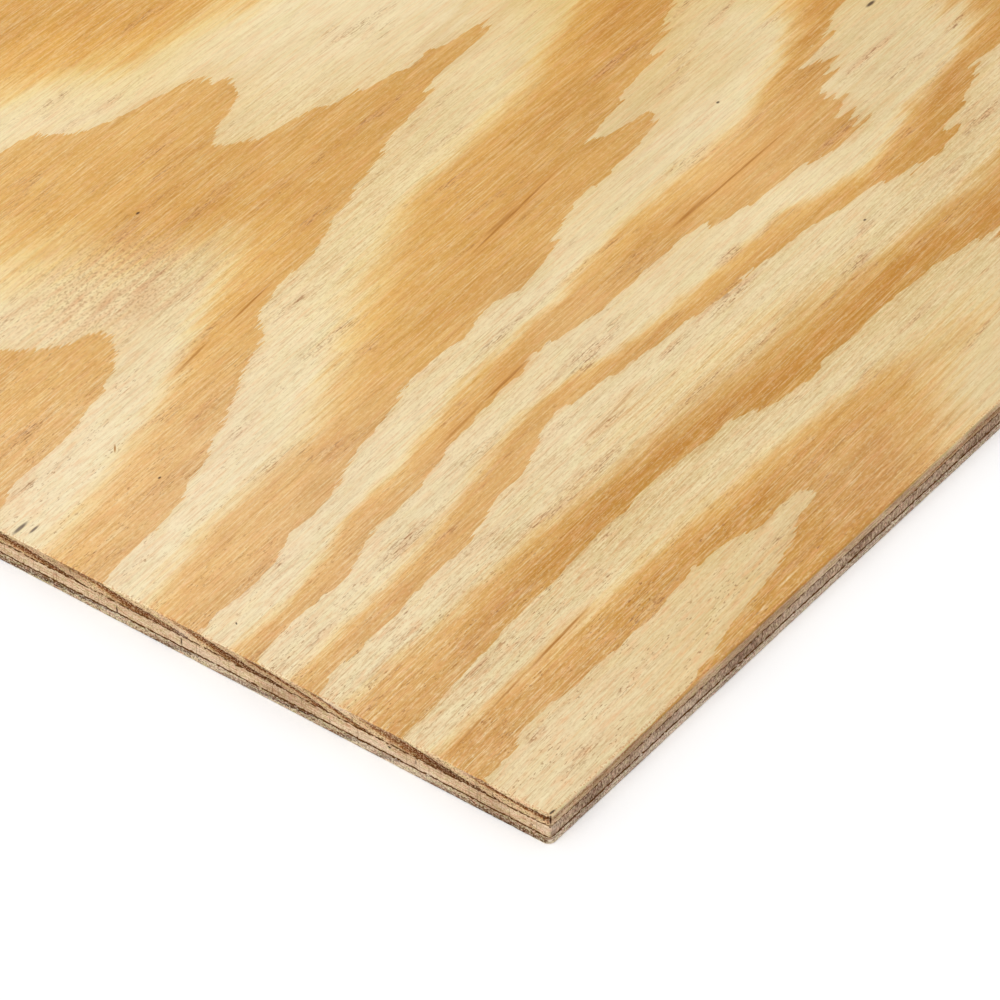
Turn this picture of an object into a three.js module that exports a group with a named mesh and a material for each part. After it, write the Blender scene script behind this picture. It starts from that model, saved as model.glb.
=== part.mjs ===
// Three-ply softwood plywood sheet, 4 ft x 8 ft, lying flat.
//
// Millimetres, +Z up. The origin is the centre of the underside, X runs along the 8 ft length,
// which is the grain of the two outer veneers, and Y runs along the grain of the core veneer.
//
// Each veneer is one closed solid: a stack of rounded-rectangle outlines joined by walls. The
// outlines carry the sheet's edge section: sanded arrises at the top and the bottom, a sawn wall,
// and the narrow groove that each glue line leaves where the saw has drawn out the brittle glue.

import * as THREE from "three";

// Trimmed size of the sheet.
const sheetLength = 2438.4;
const sheetWidth = 1219.2;

// Thickness of each veneer after pressing and sanding.
const faceThickness = 3.3;
const coreThickness = 3.0;
const backThickness = 2.4;

// Plan corners. The near corner, at -X and -Y, has been knocked, and each veneer there has worn
// by its own amount: the back most, the core least.
const cornerRadius = 0.5;
const wornFaceCorner = 1.0;
const wornCoreCorner = 0.6;
const wornBackCorner = 1.8;
const cornerSteps = 3;

// Rounding of the sharp sawn edges by sanding. The face is sanded more than the back.
const faceArris = 0.6;
const backArris = 0.4;
const arrisSteps = 4;

// Groove along each glue line: how far it is drawn in from the wall, and its half height.
const glueGrooveDepth = 0.25;
const glueGrooveHalfHeight = 0.15;

// Heights at which the veneers meet.
const lowerGlueLine = backThickness;
const upperGlueLine = lowerGlueLine + coreThickness;
const topFace = upperGlueLine + faceThickness;

// The sheet's outline in plan, drawn in from its edges by inset, anticlockwise from the near corner.
function sheetOutline(inset, nearRadius) {
  const x = sheetLength / 2 - inset;
  const y = sheetWidth / 2 - inset;
  const right = Math.PI / 2;
  const r = cornerRadius;
  const outline = new THREE.Shape();
  outline.absarc(-x + nearRadius, -y + nearRadius, nearRadius, 2 * right, 3 * right);
  outline.absarc(x - r, -y + r, r, 3 * right, 4 * right);
  outline.absarc(x - r, y - r, r, 0, right);
  outline.absarc(-x + r, y - r, r, right, 2 * right);
  return outline.getPoints(cornerSteps);
}

// One closed solid from levels of { z, inset }, listed from the bottom up.
function veneerGeometry(levels, nearRadius) {
  const positions = [];
  const indices = [];
  const rings = levels.map((level) => sheetOutline(level.inset, nearRadius));
  const count = rings[0].length;
  rings.forEach((ring, level) => {
    for (const point of ring) positions.push(point.x, point.y, levels[level].z);
  });
  for (let level = 0; level + 1 < rings.length; level++) {
    for (let i = 0; i < count; i++) {
      const a = level * count + i;
      const b = level * count + ((i + 1) % count);
      indices.push(a, b, b + count);
      indices.push(a, b + count, a + count);
    }
  }
  const lastRing = (rings.length - 1) * count;
  for (const [a, b, c] of THREE.ShapeUtils.triangulateShape(rings[0], [])) {
    indices.push(a, c, b);
  }
  for (const [a, b, c] of THREE.ShapeUtils.triangulateShape(rings.at(-1), [])) {
    indices.push(lastRing + a, lastRing + b, lastRing + c);
  }
  const geometry = new THREE.BufferGeometry();
  geometry.setAttribute("position", new THREE.Float32BufferAttribute(positions, 3));
  geometry.setIndex(indices);
  geometry.computeVertexNormals();
  return geometry;
}

// The half of a glue groove that is cut into the veneer above the line, from the bottom up.
function grooveAbove(z) {
  return [
    { z, inset: glueGrooveDepth },
    { z: z + glueGrooveHalfHeight, inset: 0 },
  ];
}

// The half of a glue groove that is cut into the veneer below the line, from the bottom up.
function grooveBelow(z) {
  return [
    { z: z - glueGrooveHalfHeight, inset: 0 },
    { z, inset: glueGrooveDepth },
  ];
}

// The quarter round of the top arris, from the wall up to the face.
function topArris(z, radius) {
  const levels = [];
  for (let i = 0; i <= arrisSteps; i++) {
    const angle = (Math.PI / 2) * (i / arrisSteps);
    levels.push({
      z: z - radius * (1 - Math.sin(angle)),
      inset: radius * (1 - Math.cos(angle)),
    });
  }
  return levels;
}

// The quarter round of the bottom arris, from the underside up to the wall.
function bottomArris(radius) {
  return topArris(0, radius)
    .map((level) => ({ z: -level.z, inset: level.inset }))
    .reverse();
}

function veneer(name, levels, nearRadius, finish) {
  const material = new THREE.MeshStandardMaterial({ ...finish, metalness: 0 });
  const mesh = new THREE.Mesh(veneerGeometry(levels, nearRadius), material);
  mesh.name = name;
  return mesh;
}

const sheet = new THREE.Group();
sheet.name = "plywood_sheet";

sheet.add(
  veneer(
    "back_veneer",
    [...bottomArris(backArris), ...grooveBelow(lowerGlueLine)],
    wornBackCorner,
    { color: 0xc9ac82, roughness: 0.75 },
  ),
  veneer(
    "core_veneer",
    [...grooveAbove(lowerGlueLine), ...grooveBelow(upperGlueLine)],
    wornCoreCorner,
    { color: 0xc9a57e, roughness: 0.8 },
  ),
  veneer(
    "face_veneer",
    [...grooveAbove(upperGlueLine), ...topArris(topFace, faceArris)],
    wornFaceCorner,
    { color: 0xe2c08a, roughness: 0.55 },
  ),
);

export default sheet;
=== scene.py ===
"""The looks of a three-ply pine plywood sheet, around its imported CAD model.

Each veneer gets a detailed mesh in place of its CAD solid: sawn and worn edges in real relief, and
growth rings that are worked out for the whole sheet and carried to the materials as attributes.
Places on the sheet are given as (a, b), in millimetres from the near corner along +X and +Y, and
heights in millimetres above the floor.
"""

import functools
import math

import bpy
import numpy as np
from mathutils import Euler, Matrix, Vector


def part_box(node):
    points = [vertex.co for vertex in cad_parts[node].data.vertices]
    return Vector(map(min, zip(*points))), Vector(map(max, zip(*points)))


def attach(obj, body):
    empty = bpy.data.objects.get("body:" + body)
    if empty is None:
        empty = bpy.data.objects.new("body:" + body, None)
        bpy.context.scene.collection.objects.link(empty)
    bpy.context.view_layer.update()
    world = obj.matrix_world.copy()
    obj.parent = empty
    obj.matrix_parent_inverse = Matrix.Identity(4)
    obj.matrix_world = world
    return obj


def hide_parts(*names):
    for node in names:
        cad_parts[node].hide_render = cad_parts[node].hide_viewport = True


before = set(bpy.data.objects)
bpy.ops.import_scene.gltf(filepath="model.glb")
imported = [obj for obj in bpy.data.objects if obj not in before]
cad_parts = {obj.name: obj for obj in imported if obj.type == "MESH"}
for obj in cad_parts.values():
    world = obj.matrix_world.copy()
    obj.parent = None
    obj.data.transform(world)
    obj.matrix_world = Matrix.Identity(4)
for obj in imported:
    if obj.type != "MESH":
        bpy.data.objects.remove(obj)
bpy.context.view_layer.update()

MM = 0.001

# ---- Sizes, read from the frame ----

face_low, face_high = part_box("face_veneer")
core_low, core_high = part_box("core_veneer")

LENGTH = (face_high.x - face_low.x) / MM
WIDTH = (face_high.y - face_low.y) / MM
TOP = face_high.z / MM
UPPER_GLUE = core_high.z / MM
LOWER_GLUE = core_low.z / MM
NEAR_CORNER = Vector((face_low.x, face_low.y, 0.0))

# The edge section and the worn near corner, as in the CAD model.
FACE_ARRIS = 0.6
BACK_ARRIS = 0.4
GROOVE_DEPTH = 0.25
GROOVE_HALF_HEIGHT = 0.15
CORNER_RADIUS = 0.5
NEAR_RADIUS = {"face": 1.0, "core": 0.6, "back": 1.8}

# Mean thickness of one year's growth.
RING = 3.5

# ---- Repeatable noise ----


def hashed(i, j, seed):
    """A value from 0 to 1 for each lattice point (i, j)."""
    h = i.astype(np.uint64) * np.uint64(0x9E3779B97F4A7C15)
    h ^= j.astype(np.uint64) * np.uint64(0xC2B2AE3D27D4EB4F)
    h ^= np.uint64(seed * 0x165667B19E3779F9 & 0xFFFFFFFFFFFFFFFF)
    h ^= h >> np.uint64(29)
    h *= np.uint64(0xBF58476D1CE4E5B9)
    h ^= h >> np.uint64(32)
    return (h & np.uint64(0xFFFFFF)).astype(float) / 0xFFFFFF


def smooth(x, y, seed):
    """Smooth noise, about -1 to 1, that changes over steps of 1 in x and y."""
    x, y = np.broadcast_arrays(np.asarray(x, float), np.asarray(y, float))
    i = np.floor(x).astype(np.int64)
    j = np.floor(y).astype(np.int64)
    u = x - i
    v = y - j
    u = u * u * u * (u * (u * 6 - 15) + 10)
    v = v * v * v * (v * (v * 6 - 15) + 10)
    low = hashed(i, j, seed) * (1 - u) + hashed(i + 1, j, seed) * u
    high = hashed(i, j + 1, seed) * (1 - u) + hashed(i + 1, j + 1, seed) * u
    return 2 * (low * (1 - v) + high * v) - 1


def held(x):
    """x, held between 0 and 1."""
    return np.clip(x, 0, 1)


def bell(x):
    """1 at 0, fading over about 1 to either side."""
    return np.exp(-(x ** 2))


# ---- Growth rings of a peeled veneer ----
#
# A lathe peels the veneer from a log that is neither round nor straight, so the knife crosses the
# growth rings at a shallow angle. A ring field counts the rings that it has crossed: a whole number
# is the sharp end of one year's dark latewood, and SOFT_START before it is where that begins.

SOFT_START = 0.47
GRAIN_STRETCH = 2.5  # how much longer than wide the figure is

# The sharp ends of the latewood on the face round the near corner, by their ring count.
FACE_SHARP_LINES = {
    0: [(49, 192), (53.5, 185.5), (57.5, 182.5), (67, 178.5), (66, 176), (67.5, 174.5), (65.5, 172),
        (58, 167), (52, 164), (45.5, 163), (34, 159.5), (22, 159), (14, 158), (9, 157), (5.5, 154.5)],
    1: [(105, 243), (113.5, 242), (122, 234), (129, 230.5), (146.5, 227.5), (157, 225.5), (158, 223),
        (160.5, 218.5), (164, 217), (158.5, 213), (153.5, 210), (143, 207), (139, 204.5), (139, 202),
        (142, 201), (146, 197), (157, 195.5), (173, 191), (183, 188), (205, 186), (214.5, 184.5),
        (216.5, 183.5), (218.5, 180.5), (215, 179.5), (204, 179), (194, 178), (169, 171.5),
        (160.5, 170), (133, 162), (118, 158), (108, 157), (98, 155.5), (92, 152), (86, 146), (73, 142),
        (63.5, 137), (55, 134), (48, 130.5), (39, 127.5), (32, 126), (23, 123), (10.5, 122.5),
        (0.5, 121)],
    2: [(0.5, 94), (23, 94.5), (35.5, 98), (48, 99.5), (58, 101), (68, 105), (79, 106), (93, 110),
        (105.5, 111), (113, 110), (125.5, 113), (138, 111.5), (149, 112.5), (158, 116), (165.5, 120),
        (175.5, 121), (198.5, 122), (209, 124), (212, 125.5), (214.5, 129), (213, 130), (204.5, 129.5),
        (201.5, 130.5), (198, 132.5), (200, 134.5), (210, 136.5), (220, 138), (229, 140), (235, 142.5),
        (241, 145), (255.5, 152)],
    3: [(0.5, 78), (5.5, 79), (13, 80), (35.5, 80), (49, 85), (67, 86), (87, 90), (115.5, 93),
        (124, 94.5), (133, 93), (144, 91.5), (158, 92), (179, 93), (190.5, 88), (208, 86.5),
        (220.5, 86), (232.5, 83.5), (236.5, 84), (240, 86), (243, 88), (241, 90), (241.5, 93.5),
        (244.5, 96), (246, 98), (249.5, 100.5), (254, 103), (255.5, 104.5), (255, 108.5), (256, 110),
        (258.5, 111), (268, 113), (280.5, 116.5)],
    4: [(0.5, 62), (62, 66.5), (70.5, 69.5), (85.5, 70.5), (103, 77.5), (118, 76), (133, 74.5),
        (158, 73), (198, 71), (223, 67.5), (235.5, 64), (248, 64), (249, 68), (272.5, 72), (278, 76),
        (287, 77)],
    5: [(0.5, 39), (10.5, 39.5), (48, 43), (80.5, 45), (98, 46), (110.5, 45.5), (128, 44), (138, 40.5),
        (148, 39), (163, 40), (203, 40), (215.5, 38), (222.5, 35)],
    6: [(0.5, 17.5), (10.5, 17.5), (18, 21), (28, 20), (70.5, 20), (77, 22.5), (98, 20), (104, 18),
        (118, 16.5), (98, 9), (77, 5.5), (50.5, 1)],
}

# The soft starts of the latewood there, by the count of the ring that they belong to.
FACE_SOFT_LINES = {
    1: [(73, 214), (83, 210), (89, 202.5), (92.5, 194), (97, 187.5), (105.5, 182.5), (112, 177),
        (110, 172), (73, 157.5), (60.5, 151.5), (35.5, 144), (0.5, 135.5)],
    2: [(0.5, 107), (23, 113), (60.5, 116), (70.5, 117.5), (108, 134.5), (123, 143), (133, 145.5),
        (148, 152), (208, 159), (215.5, 163), (242.5, 170)],
    3: [(0.5, 84), (23, 85.5), (33, 87), (48, 92), (73, 94), (105.5, 101), (138, 102), (173, 107),
        (223, 108.5), (245.5, 114.5), (265.5, 122), (272, 129)],
    4: [(0.5, 68), (48, 72.5), (93, 82), (115.5, 83), (128, 80), (148, 79), (198, 79), (223, 74),
        (233, 74), (248, 79), (285.5, 84), (295.5, 88)],
    5: [(0.5, 54), (48, 55.5), (148, 55.5), (173, 55), (210.5, 52), (235.5, 51), (258, 55)],
    6: [(0.5, 30), (98, 31.5), (148, 30), (168, 27), (182, 22), (163, 12), (152, 0.5)],
}

# Further lines by their exact count: a second branch of ring 2's soft start, and the middles of two
# narrow tongues.
FACE_OTHER_LINES = [
    (2 - SOFT_START, [(123, 257), (133, 255.5), (147, 251), (153.5, 243), (183, 240.5), (189, 236.5)]),
    (0.93, [(170, 182), (205, 182)]),
    (1.05, [(224, 181), (236, 181)]),
    (6.08, [(85, 14.5), (114, 16.5)]),
]

# The same rings on the near end, where they dip into the veneer: (b, depth below the face) along
# each sharp end, and along the start of the dark band that it closes.
FACE_END_LINES = [
    (6, [(17.5, 0), (14, 0.5), (8, 0.8), (1, 0.6)]), (5.7, [(22, 0.2), (17, 0.95), (11, 1.4), (1, 1.6)]),
    (5, [(39, 0), (35, 0.6), (30.5, 0.9), (26.5, 1.5), (19.5, 2.2), (14, 2.9)]),
    (4.7, [(48.5, 0.4), (44.5, 1.2), (37.5, 2.4), (33, 3.1)]),
    (4, [(61, 0.1), (58, 0.7), (55.5, 1.3), (52.5, 2.1), (48, 2.7)]),
    (3.7, [(62, 0.6), (58, 1.2), (55, 1.9), (51, 2.8)]),
    (3, [(77, 0.1), (73.5, 0.55), (68, 1.1), (63.5, 1.65), (59, 2.7)]),
    (2.7, [(80, 0.4), (73.5, 1.05), (66, 1.9), (61, 2.9)]),
    (2, [(94, 0.1), (90, 0.55), (86, 1.25), (78, 2), (70.5, 2.6)]),
    (1.7, [(99, 0.4), (93, 1.6), (88.5, 2.3), (83, 3.1)]),
    (1, [(121, 0.1), (116, 0.8), (111, 1.45), (105, 1.6), (97, 2.6)]),
    (0.7, [(130, 0.3), (121.5, 1), (117, 1.9), (112, 3)]),
    (0, [(152, 0.2), (141, 1.1), (132, 2.3), (127, 2.8)]), (-0.3, [(150, 1.7), (142, 2.4), (135, 3)]),
]

# The sharp ends on the underside, where they reach the near end of the sheet.
BACK_SHARP_LINES = {k: [(0, b), (40, b + 1)] for k, b in enumerate((150, 104, 83, 55, 45, 16))}


def ridged(x):
    """The size of x, rounded off where it is small."""
    return np.sqrt(x * x + 0.03)


# How the wood waves against the knife: height of the wave in millimetres, its size along and across
# the sheet, its shift along and across, and seed. Creases are waves with sharp crests.
FACE_WAVES = [(7, 1100, 330, 0.3, 0.6, 11), (3.4, 620, 120, 7.1, 0, 12)]
FACE_CREASES = [(2.6, 760, 62, 3.7, 0, 14), (1.1, 330, 27, 1.2, 0, 15)]
BACK_WAVES = [(6, 1000, 300, 5.3, 2.6, 41), (3, 560, 110, 1.1, 0, 42)]
BACK_CREASES = [(2.4, 700, 55, 8.7, 0, 43)]


def peeled(a, b, turned, waves, creases, girth, off_centre, taper):
    """The ring count where the knife has turned so far round a slightly crooked log."""
    depth = off_centre * np.cos(2 * np.pi * turned / girth) + taper * a
    for height, size_a, size_b, shift_a, shift_b, seed in waves:
        depth = depth + height * smooth(a / size_a + shift_a, b / size_b + shift_b, seed)
    for height, size_a, size_b, shift_a, shift_b, seed in creases:
        depth = depth - height * ridged(smooth(a / size_a + shift_a, b / size_b + shift_b, seed))
    return depth / RING


def face_base(a, b):
    """The ring count over a whole sheet, peeled from b = 0 upwards."""
    turned = b + 250 + 40 * smooth(a / 800, 0, 3)
    return peeled(a, b, turned, FACE_WAVES, FACE_CREASES, girth=1080, off_centre=10, taper=0.0045)


def back_base(a, b):
    """The ring count over the underside, from another part of the log."""
    return peeled(a, b, b - 180, BACK_WAVES, BACK_CREASES, girth=960, off_centre=9, taper=-0.006)


def along(points, step):
    """The points of a line, with others between them so that no gap is longer than step."""
    made = []
    for start, end in zip(points[:-1], points[1:]):
        start, end = np.array(start, float), np.array(end, float)
        count = max(1, int(np.ceil(np.linalg.norm(end - start) / step)))
        made += [start + (end - start) * i / count for i in range(count)]
    return made + [np.array(points[-1], float)]


def pull(points, centres, reach):
    """How strongly each centre acts on each point: 1 at the centre, fading over reach."""
    da = (points[:, None, 0] - centres[None, :, 0]) / GRAIN_STRETCH
    db = points[:, None, 1] - centres[None, :, 1]
    return np.exp(-(da * da + db * db) / (2 * reach * reach))


class RingField:
    """A base ring count, bent so that it takes the given values along the given lines."""

    # Reach in millimetres and stiffness of each pass, from the broad bend to the fine one.
    PASSES = ((110, 0.5), (45, 0.15), (18, 0.05), (7, 0.02), (3, 0.02))
    BENT_A, BENT_B = 1500, 700  # nothing is bent beyond these
    CHUNK = 20000  # points worked out at a time

    def __init__(self, base, lines, step=5.0):
        self.base = base
        points, values = [], []
        for value, line in lines:
            dense = along(line, step)
            points += dense
            values += [value] * len(dense)
        points = np.array(points)
        left = np.array(values, float) - base(points[:, 0], points[:, 1])
        self.offset = left.mean()
        left = left - self.offset
        self.bends = []
        for reach, stiffness in self.PASSES:
            centres = self.spaced(points, 0.25 * reach)
            matrix = pull(points, centres, reach)
            normal = matrix.T @ matrix + stiffness * np.eye(len(centres))
            weights = np.linalg.solve(normal, matrix.T @ left)
            left = left - matrix @ weights
            self.bends.append((reach, centres, weights))

    @staticmethod
    def spaced(points, gap):
        """Those of the points that keep the gap from each other."""
        kept = []
        for p in points:
            if all(np.hypot((p[0] - q[0]) / GRAIN_STRETCH, p[1] - q[1]) > gap for q in kept):
                kept.append(p)
        return np.array(kept)

    def __call__(self, a, b):
        count = self.base(a, b) + self.offset
        bent = np.flatnonzero((a < self.BENT_A) & (b < self.BENT_B))
        points = np.stack([a, b], 1)[bent]
        for reach, centres, weights in self.bends:
            for start in range(0, len(bent), self.CHUNK):
                part = slice(start, start + self.CHUNK)
                count[bent[part]] += pull(points[part], centres, reach) @ weights
        return count

    def slopes(self, a, b, step=0.5):
        """How fast the count grows along a and along b, per millimetre."""
        here = self(a, b)
        return (self(a + step, b) - here) / step, (self(a, b + step) - here) / step


def face_lines():
    lines = list(FACE_SHARP_LINES.items())
    lines += [(k - SOFT_START, line) for k, line in FACE_SOFT_LINES.items()]
    return lines + FACE_OTHER_LINES


face_rings = RingField(face_base, face_lines())
back_rings = RingField(back_base, list(BACK_SHARP_LINES.items()))

# The field of the near end lies in (b, depth), with the depth stretched to match.
DEPTH_STRETCH = 6.0
END_REACH, END_FADE = 200.0, 40.0  # how far along the near end it holds, and where it lets go


def end_base(b, stretched_depth):
    return face_rings(np.zeros_like(b), b) - stretched_depth / DEPTH_STRETCH / RING


def end_lines():
    return [(k, [(b, DEPTH_STRETCH * depth) for b, depth in line]) for k, line in FACE_END_LINES]


end_rings = RingField(end_base, end_lines(), step=4.0)


def veneer_rings(a, b, depth):
    """The ring count through the face veneer, with the near end's own lines there."""
    ring = face_rings(a, b) - depth / RING
    share = held(1 - a) * held((END_REACH - b) / END_FADE) * (depth > 0)
    on_end = np.flatnonzero(share > 0)
    count = end_rings(b[on_end], DEPTH_STRETCH * depth[on_end])
    ring[on_end] += share[on_end] * (count - ring[on_end])
    return ring


def across_grain(a, b):
    """A coordinate that is the same all along one fibre of the face."""
    lean, reach = 0.045, 600.0
    return b - lean * reach * np.tanh(a / reach) + 5.0 * smooth(a / 520, b / 260, 31)


# Where the face is warmer (and, below 0, fresher) than round about: middle (a, b), reach, amount.
WARMED = [(100, 192, 26, 0.3), (135, 135, 20, 0.28), (210, 105, 20, -0.27), (12, 42, 18, 0.2),
          (200, 222, 26, -0.15), (125, 245, 24, -0.2), (45, 100, 40, 0.1), (288, 130, 12, -0.6),
          (75, 226, 14, 0.3), (165, 175, 18, 0.2), (195, 135, 16, 0.18), (290, 105, 14, 0.4),
          (100, 15, 16, 0.12), (45, 190, 12, 0.2), (76, 190, 12, -0.3), (105, 150, 13, -0.27),
          (150, 151, 15, -0.25), (200, 70, 18, -0.25), (288, 72, 12, -0.3), (130, 26, 12, -0.18),
          (210, 128, 12, 0.18), (66, 206, 10, -0.35), (112, 185, 12, 0.16)]
# Where resin has yellowed it (and, below 0, where it has stayed pale).
YELLOWED = [(82, 190, 22, 0.6), (262, 174, 30, 2.0), (292, 130, 12, 1.2), (163, 262, 26, 1.8),
            (140, 150, 40, 0.7), (40, 112, 42, -1.2), (15, 10, 30, -0.5), (205, 222, 26, -0.6),
            (130, 10, 20, -0.5), (15, 165, 20, -0.5), (75, 60, 20, 0.3), (135, 103, 16, -0.45),
            (256, 136, 12, -1.1), (165, 223, 12, -0.5), (225, 195, 12, -0.8), (75, 100, 16, -0.2),
            (212, 112, 18, -0.45), (135, 104, 16, -0.3), (265, 88, 18, -0.3),
            (185, 30, 14, 0.3), (45, 72, 22, 0.25), (190, 150, 20, 0.2), (130, 228, 14, -0.3)]


def blots(a, b, places):
    total = np.zeros_like(a)
    for middle_a, middle_b, reach, amount in places:
        away = ((a - middle_a) ** 2 + (b - middle_b) ** 2) / (2 * reach * reach)
        total = total + amount * np.exp(-away)
    return total


def tone_and_shade(a, b):
    """How warm the wood is, with painted shade in it: 0 is fresh cream, 1 is yellow-brown."""
    # The drift along a and towards b = 0 is partly the wood's own tone and partly painted shade: light
    # falling off away from the near end.
    drift = -0.03 + a / 330 + 0.5 * bell(b / 80) - 0.0006 * b
    brown_year = 0.5 * bell((b - 49) / 9) * held((a - 20) / 60)
    near = drift + brown_year + blots(a, b, WARMED)
    elsewhere = 0.45 + 0.4 * smooth(a / 420 + 0.5, b / 150 + 0.2, 21)
    nearness = held(1 - (a - 300) / 260) * held(1 - (b - 290) / 200)
    return near * nearness + elsewhere * (1 - nearness)


def yellowness(a, b):
    """How far resin has yellowed the wood, about -1 to 1."""
    return 0.35 * smooth(a / 90, b / 34, 35) + blots(a, b, YELLOWED)


# Where the earlywood is coarser (and, below 0, smoother) than round about, as above.
COARSENED = [(112, 165, 30, 0.55), (160, 168, 24, 0.4), (105, 106, 20, 0.35), (165, 197, 14, 0.3),
             (210, 108, 36, -0.15), (50, 140, 24, -0.12), (200, 210, 26, -0.12)]


def coarseness(a, b):
    """How strongly the fibres show in the latewood, about 1; most round the near corner."""
    return 0.68 + 0.9 * np.exp(-(a + 0.5 * b) / 120) + 0.15 * smooth(a / 260, b / 90, 33)


def early_coarseness(a, b):
    """The same for the earlywood, which one band near the side has torn."""
    torn_band = 0.72 * bell((b - 48) / 26) * held(1 - (a - 300) / 200)
    corner = 0.5 * np.exp(-(a + 0.5 * b) / 60)
    return 0.6 + torn_band + corner + blots(a, b, COARSENED) + 0.12 * smooth(a / 200, b / 70, 36)


# ---- Edge relief ----
#
# Every function here gives, in millimetres, how far the wall is drawn in from the CAD outline.

# Nicks in the near end: place along it, heights from and to, half width, depth.
CORE_NICKS = [(5.0, 2.9, 3.7, 0.3, 0.6), (50.6, 2.4, 3.9, 0.25, 0.3)]
FACE_NICKS = [(0.6, 5.8, 8.7, 0.3, 0.5), (1.5, 6.2, 7.6, 0.25, 0.3)]
NICK_MARGIN = 0.2  # how far above and below its heights a nick still cuts
ON_NEAR_END = 0.5  # columns with a smaller a than this are on the near end

# Depth of the torn fibres of a sawn wall, and how much deeper they tear across the grain.
TORN, TORN_ACROSS = 0.03, 0.05
CORE_TORN, CORE_TORN_ACROSS = 0.02, 0.08
STROKE_DEPTH = 0.04


def nicked(outline, z, nicks):
    a, b = outline.plan.T
    drawn = np.zeros_like(b)
    for place, low, high, half_width, depth in nicks:
        cut = low - NICK_MARGIN <= z <= high + NICK_MARGIN
        drawn = drawn + depth * held(1 - np.abs(b - place) / half_width) * cut
    return drawn * (a < ON_NEAR_END)


def saw_marks(s, z, rough, seed):
    """Fine tear-out everywhere, and the saw's shallow upright strokes."""
    torn = 0.5 + 0.5 * smooth(s / 0.8, z / 0.45, seed)
    strokes = np.abs(smooth(s / 2.6, z / 12, seed + 1))
    return rough * torn + STROKE_DEPTH * strokes


def arris_chips(s, size, seed):
    """Short splinters gone from an arris."""
    deep = held(smooth(s / 1.4, 0.5, seed) - 0.45)
    return size * (deep + 0.25 * np.abs(smooth(s / 0.7, 3.5, seed + 1)))


def groove(s, seed):
    """How deep the groove of a glue line is."""
    return GROOVE_DEPTH * (0.55 + 0.45 * smooth(s / 7, 0.5, seed) + 0.3 * smooth(s / 0.9, 2.5, seed))


# ---- Meshes ----


def spread(end, fine, fine_until, growth, coarse):
    """Positions from 0 to end: fine steps near 0, then growing to coarse ones."""
    places = [0.0]
    step = fine
    while places[-1] < end:
        if places[-1] > fine_until:
            step = min(step * growth, coarse)
        places.append(places[-1] + step)
    places = np.array(places)
    return places * (end / places[-1])


class Outline:
    """The sheet's outline in plan as columns of the edge mesh, anticlockwise from the near corner."""

    FINE, FINE_UNTIL, GROWTH, COARSE = 0.3, 185.0, 1.05, 6.0
    NEAR_STEPS, FAR_STEPS = 10, 3
    EASING = 6.0  # how far from a corner the columns still move with it

    def __init__(self, near_radius):
        self.rows = []
        r, far, right = near_radius, CORNER_RADIUS, math.pi / 2
        fine = (self.FINE, self.FINE_UNTIL, self.GROWTH, self.COARSE)
        coarse = (self.COARSE, 0, 1, self.COARSE)
        self.straight([(r + s, 0.0) for s in spread(LENGTH - r - far, *fine)], -right)
        self.arc(LENGTH - far, far, far, -right)
        self.straight([(LENGTH, far + s) for s in spread(WIDTH - 2 * far, *coarse)], 0)
        self.arc(LENGTH - far, WIDTH - far, far, 0)
        self.straight([(LENGTH - far - s, WIDTH) for s in spread(LENGTH - 2 * far, *coarse)], right)
        self.arc(far, WIDTH - far, far, right)
        self.straight([(0.0, r + s) for s in spread(WIDTH - r - far, *fine)[::-1]], 2 * right)
        self.arc(r, r, r, 2 * right, self.NEAR_STEPS)
        rows = np.array(self.rows)
        self.plan = rows[:, :2]
        self.endness = rows[:, 2] ** 2
        self.along_edge = self.plan.sum(1)
        near = self.plan - near_radius
        far_off = np.array([LENGTH, WIDTH]) - self.plan - far
        ease = [held(1 - gap / self.EASING) for gap in (near, far_off)]
        self.inward = ease[0] - ease[1]

    def straight(self, points, angle):
        self.rows += [(a, b, math.cos(angle), math.sin(angle)) for a, b in points]

    def arc(self, centre_a, centre_b, radius, start, steps=FAR_STEPS):
        for i in range(1, steps):
            angle = start + math.pi / 2 * i / steps
            ca, sa = math.cos(angle), math.sin(angle)
            self.rows.append((centre_a + radius * ca, centre_b + radius * sa, ca, sa))

    def drawn_in(self, inset):
        """The outline drawn in by the inset of each column; the corners keep their radius."""
        return self.plan + self.inward * np.clip(inset, 0, None)[:, None]


# Which of a piece's materials a face has. The core shows its wall alone, so it has only the first.
SURFACE, EDGE = 0, 1


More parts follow.
